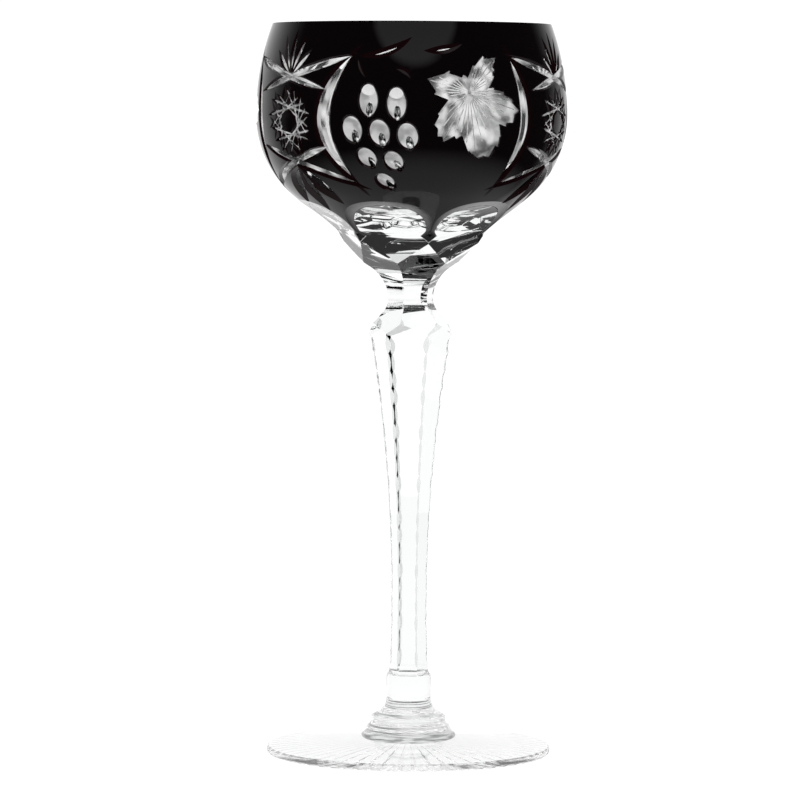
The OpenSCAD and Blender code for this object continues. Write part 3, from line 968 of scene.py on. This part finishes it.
casing_inside = bowl_outline(casing_t - casing_gap)
casing_outline = [
    (casing_inside[-1][0], neck_z), (skirt_r, neck_z), *reversed(bowl_outline(0)), *casing_inside,
]
black_glass = black_glass_material("black overlay glass", black)
casing = outward(turned("casing", casing_outline, glass=black_glass, ring=True))
overlay = worked("black_overlay_cut", casing.data, bowl_flats, *pattern)
bpy.data.objects.remove(casing)
cut_edge = black_glass_material("cut edge of the black glass", "#120507")
thin_edge = feathered_edge_material()
for i, material in enumerate(overlay.data.materials):
    if material != black_glass:
        overlay.data.materials[i] = thin_edge if material == polished_crystal else cut_edge
for tool_object in (bowl_bar, neck_bar, *pattern_tools):
    bpy.data.objects.remove(tool_object)
finish_glass(overlay, "black_overlay")

# The table: a round top, painted matt white, that the glass stands on. It is lit to white where it is
# seen, keeps a faint shadow of the glass, and is dark on the camera's side in what the black mirrors.
table_r = 4.0
table_gap = 0.2 * mm
table_white = 1.08
unlit = 0.02
shadow_lift = 0.85
far_side_start, far_side_full = 0.3, 0.97


def reflected(tree):
    """1 for a ray that was mirrored off the glass, and 0 for one that went through it."""
    path = add_node(tree, "ShaderNodeLightPath").outputs
    return add_node(tree, "ShaderNodeMath", {"operation": "SUBTRACT"},
                    {0: path["Is Glossy Ray"], 1: path["Is Transmission Ray"]}).outputs[0]


def white_where_seen(tree):
    """1 where a ray comes from the camera, a reflection or through the glass, and 0 for plain light."""
    path = add_node(tree, "ShaderNodeLightPath").outputs
    seen = add_node(tree, "ShaderNodeMath", {"operation": "MAXIMUM"},
                    {0: path["Is Camera Ray"], 1: path["Is Glossy Ray"]})
    return add_node(tree, "ShaderNodeMath", {"operation": "MAXIMUM"},
                    {0: seen.outputs[0], 1: path["Is Transmission Ray"]}).outputs[0]


def table_material():
    """A matt white table top, lit to pure white where it is seen, with most of its shadow lifted."""
    material, tree = new_material("white table")
    matt = add_node(tree, "ShaderNodeBsdfDiffuse", {"Color": linear("#f2f2f2")})
    place = add_node(tree, "ShaderNodeTexCoord").outputs["Object"]
    away = add_node(tree, "ShaderNodeVectorMath", {"operation": "LENGTH"}, {0: place}).outputs["Value"]
    fade = add_node(tree, "ShaderNodeMapRange", {
        "interpolation_type": "SMOOTHSTEP", "From Min": 0.1, "From Max": 0.3, "To Min": 0.6, "To Max": unlit,
    }, {"Value": away})
    way = add_node(tree, "ShaderNodeVectorMath", {"operation": "NORMALIZE"}, {0: place}).outputs["Vector"]
    far_side = add_node(tree, "ShaderNodeSeparateXYZ", {}, {0: way}).outputs["Y"]
    behind = add_node(tree, "ShaderNodeMapRange", {
        "interpolation_type": "SMOOTHSTEP", "From Min": far_side_start, "From Max": far_side_full,
        "To Min": 0, "To Max": table_white,
    }, {"Value": far_side})
    mirrored = add_node(tree, "ShaderNodeMath", {"operation": "MAXIMUM"},
                        {0: fade.outputs[0], 1: behind.outputs[0]})
    glow = add_node(tree, "ShaderNodeMix", {"data_type": "FLOAT", 2: table_white},
                    {0: reflected(tree), 3: mirrored.outputs[0]})
    white = add_node(tree, "ShaderNodeEmission", {}, {"Strength": glow.outputs[0]})
    seen = add_node(tree, "ShaderNodeMath", {"operation": "MULTIPLY", 1: shadow_lift},
                    {0: white_where_seen(tree)})
    lift = add_node(tree, "ShaderNodeMath", {"operation": "MAXIMUM"},
                    {0: seen.outputs[0], 1: reflected(tree)})
    mix = add_node(tree, "ShaderNodeMixShader", {}, {
        0: lift.outputs[0], 1: matt.outputs["BSDF"], 2: white.outputs["Emission"]})
    add_node(tree, "ShaderNodeOutputMaterial", {}, {"Surface": mix.outputs["Shader"]})
    return material


table_points = [(table_r * math.cos(math.radians(a)), table_r * math.sin(math.radians(a)), -table_gap)
                for a in range(0, 360, 5)]
table = worked("table", new_mesh("table", table_points, faces=[tuple(range(len(table_points)))]))
table.data.materials.append(table_material())

# The light: a white room that is darker overhead, and dark behind the camera in reflections, as a
# studio is, with one round soft box above the camera and its lamp.
light_place = Vector((-0.06, -0.66, 1))
light_way = (light_place - Vector((0, 0, belly_z))).normalized()
soft_box_full, soft_box_end = [math.cos(math.radians(angle)) for angle in (26, 32)]
world = bpy.data.worlds.new("studio")
world.use_nodes = True
bpy.context.scene.world = world
tree = world.node_tree
tree.nodes.clear()
path = add_node(tree, "ShaderNodeLightPath").outputs
sky = add_node(tree, "ShaderNodeTexCoord").outputs["Generated"]
way = add_node(tree, "ShaderNodeSeparateXYZ", {}, {0: sky}).outputs
near_light = add_node(tree, "ShaderNodeVectorMath", {"operation": "DOT_PRODUCT", 1: light_way}, {0: sky})
ceiling, behind_camera, through_glass, soft_box = [
    add_node(tree, "ShaderNodeMapRange", {
        "interpolation_type": "SMOOTHSTEP", "From Min": low, "From Max": high,
        "To Min": first, "To Max": last,
    }, {"Value": value}).outputs[0]
    for value, low, high, first, last in (
        (way["Z"], 0.35, 0.9, 1, 0.75),
        (way["Y"], far_side_start, far_side_full, unlit, 1),
        (way["Y"], -0.8, 0.2, 0.85, 1.09),
        (near_light.outputs["Value"], soft_box_end, soft_box_full, 0, 0.68),
    )]
mirrored = add_node(tree, "ShaderNodeMath", {"operation": "MAXIMUM"}, {0: behind_camera, 1: soft_box})
dark = add_node(tree, "ShaderNodeMix", {"data_type": "FLOAT"}, {
    0: reflected(tree), 2: through_glass, 3: mirrored.outputs[0]})
room = add_node(tree, "ShaderNodeMath", {"operation": "MULTIPLY"}, {0: ceiling, 1: dark.outputs[0]})
strength = add_node(tree, "ShaderNodeMath", {"operation": "MAXIMUM"},
                    {0: room.outputs[0], 1: path["Is Camera Ray"]})
background = add_node(tree, "ShaderNodeBackground", {"Color": linear("#ffffff")},
                      {"Strength": strength.outputs[0]})
add_node(tree, "ShaderNodeOutputWorld", {}, {"Surface": background.outputs["Background"]})

soft_light = bpy.data.lights.new("soft_light", "AREA")
soft_light.shape = "DISK"
soft_light.size = 1.2
soft_light.energy = 3
light = bpy.data.objects.new("soft_light", soft_light)
light.location = light_place
light.rotation_euler = light_way.to_track_quat("Z", "Y").to_euler()
light.visible_glossy = False
bpy.context.scene.collection.objects.link(light)

# The camera: a long lens level with the bowl, turned to the left of the medallion's middle. It leans by
# a third of a degree, as the photograph does.
camera_distance = 1.22
camera_z = 0.173
camera_turn = math.radians(8.4)
camera_roll = math.radians(0.3)
aim_z = 0.0981
aim_left = 2.8 * mm
camera_data = bpy.data.cameras.new("camera")
camera_data.lens = 198.2
camera_data.sensor_width = 36
camera = bpy.data.objects.new("camera", camera_data)
right = Vector((math.cos(camera_turn), -math.sin(camera_turn), 0))
back = Vector((-math.sin(camera_turn), -math.cos(camera_turn), 0))
place = back * camera_distance + Vector((0, 0, camera_z))
aim = Vector((0, 0, aim_z)) - right * aim_left
looking = (aim - place).to_track_quat("-Z", "Y").to_matrix().to_4x4()
camera.matrix_world = Matrix.Translation(place) @ looking @ Matrix.Rotation(camera_roll, 4, "Z")
bpy.context.scene.collection.objects.link(camera)
bpy.context.scene.camera = camera
bpy.context.scene.view_settings.view_transform = "Standard"
